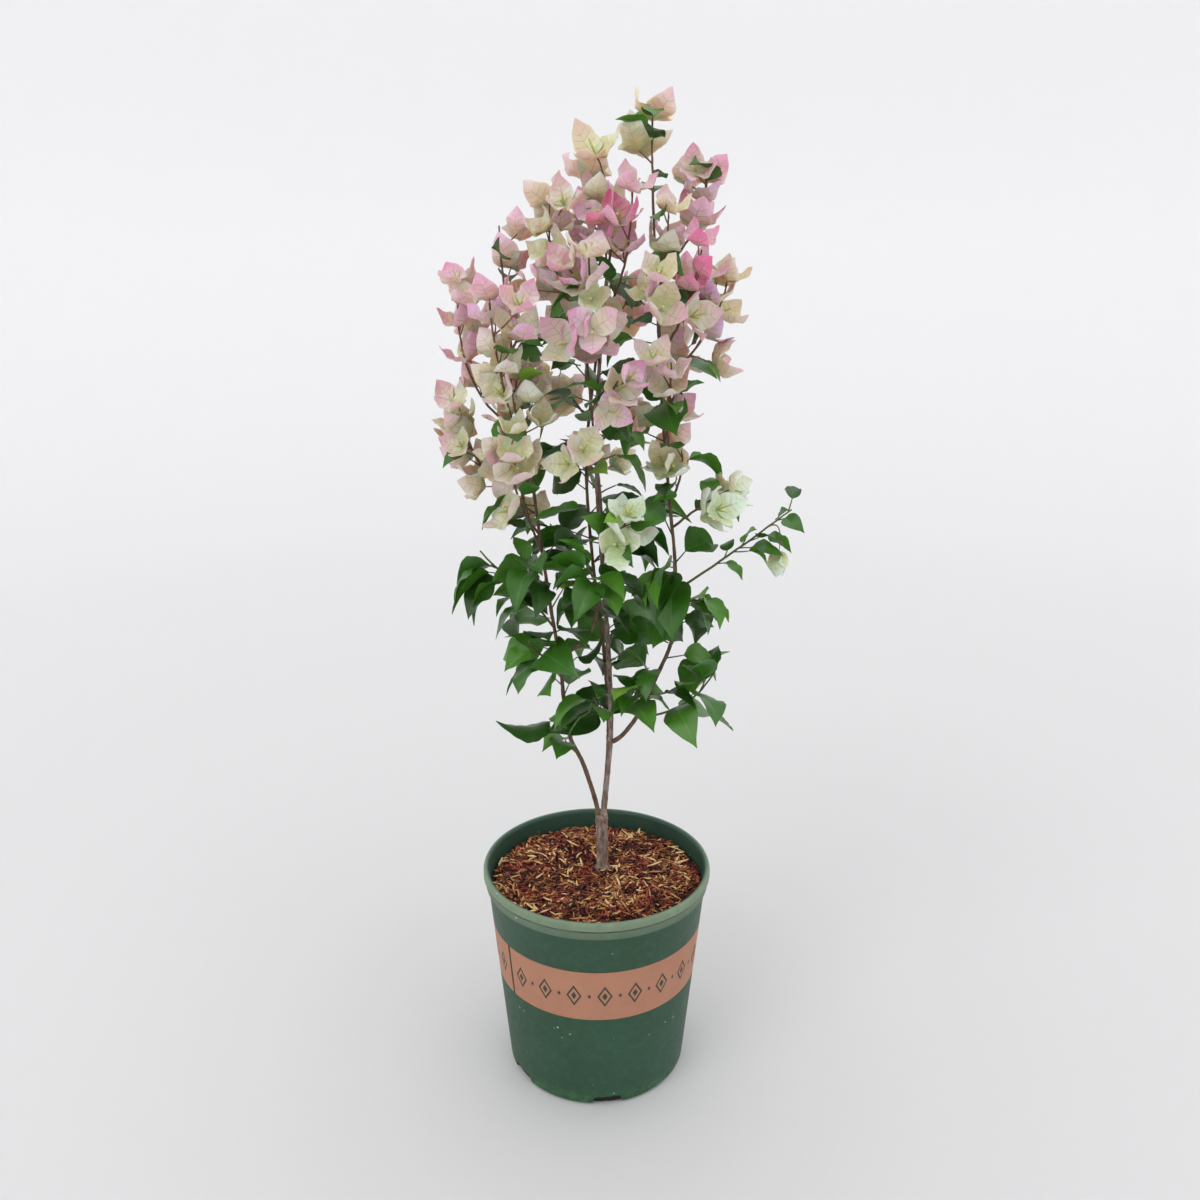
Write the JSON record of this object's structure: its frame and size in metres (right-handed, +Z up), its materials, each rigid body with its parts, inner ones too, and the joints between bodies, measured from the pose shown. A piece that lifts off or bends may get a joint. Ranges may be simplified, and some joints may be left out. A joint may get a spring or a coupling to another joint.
{
  "type": "potted bougainvillea bush",
  "caption": "Young bougainvillea bush with papery pink and white bracts over leafy green stems, in a tapered round nursery pot of bark mulch.",
  "frame": {"origin": "middle of the pot's flat underside", "axes": "+Z up along the pot's axis; -Y is the front, with the gap in the label band to the left; +X to the right"},
  "size_m": [0.3334, 0.2362, 0.9398],
  "materials": {
    "pot": "moulded, slightly scuffed",
    "label": "printed band",
    "soil": "shredded bark mulch",
    "bark": "fine grey-brown bark",
    "leaf": "glossy leaves",
    "bract": "papery bracts"
  },
  "bodies": {
    "root": {"pot": "pot", "pot_label": "label", "soil": "soil", "trunk": "bark", "centre_bough": "bark", "left_bough": "bark", "right_bough": "bark", "back_bough": "bark", "front_bough": "bark", "spire_top": "bract", "head_right_top": "bract", "head_right_inner": "bract", "head_right_low": "bract", "head_right_front": "bract", "head_right_far": "bract", "head_right_back": "bract", "middle_right_front": "bract", "middle_right_back": "bract", "low_right": "bract", "sprig_white": "bract", "sprig_right": "leaf", "leaf_right": "leaf", "leaf_right_front": "leaf", "leaf_right_low": "leaf", "leaf_right_back": "leaf", "spire_left": "bract", "head_top": "bract", "head_left_top": "bract", "head_middle": "bract", "leaf_upper": "leaf", "leaf_inner": "leaf", "leaf_low": "leaf", "leaf_middle_low": "leaf", "shoulder_left": "bract", "head_left_far": "bract", "head_left_front": "bract", "middle_left": "bract", "left_back": "bract", "low_left_far": "bract", "low_left_front": "bract", "low_left_back": "bract", "leaf_left_far": "leaf", "leaf_left_front": "leaf", "leaf_left_low": "leaf", "leaf_left_back": "leaf", "head_front": "bract", "middle_front": "bract", "low_front": "bract", "leaf_front": "leaf", "bloom_front": "bract", "head_back_top": "bract", "head_back_left": "bract", "head_back_right": "bract", "middle_back_left": "bract", "middle_back_right": "bract", "low_back": "bract", "leaf_back_left": "leaf", "leaf_back_right": "leaf", "leaf_back_low": "leaf"}
  },
  "joints": []
}
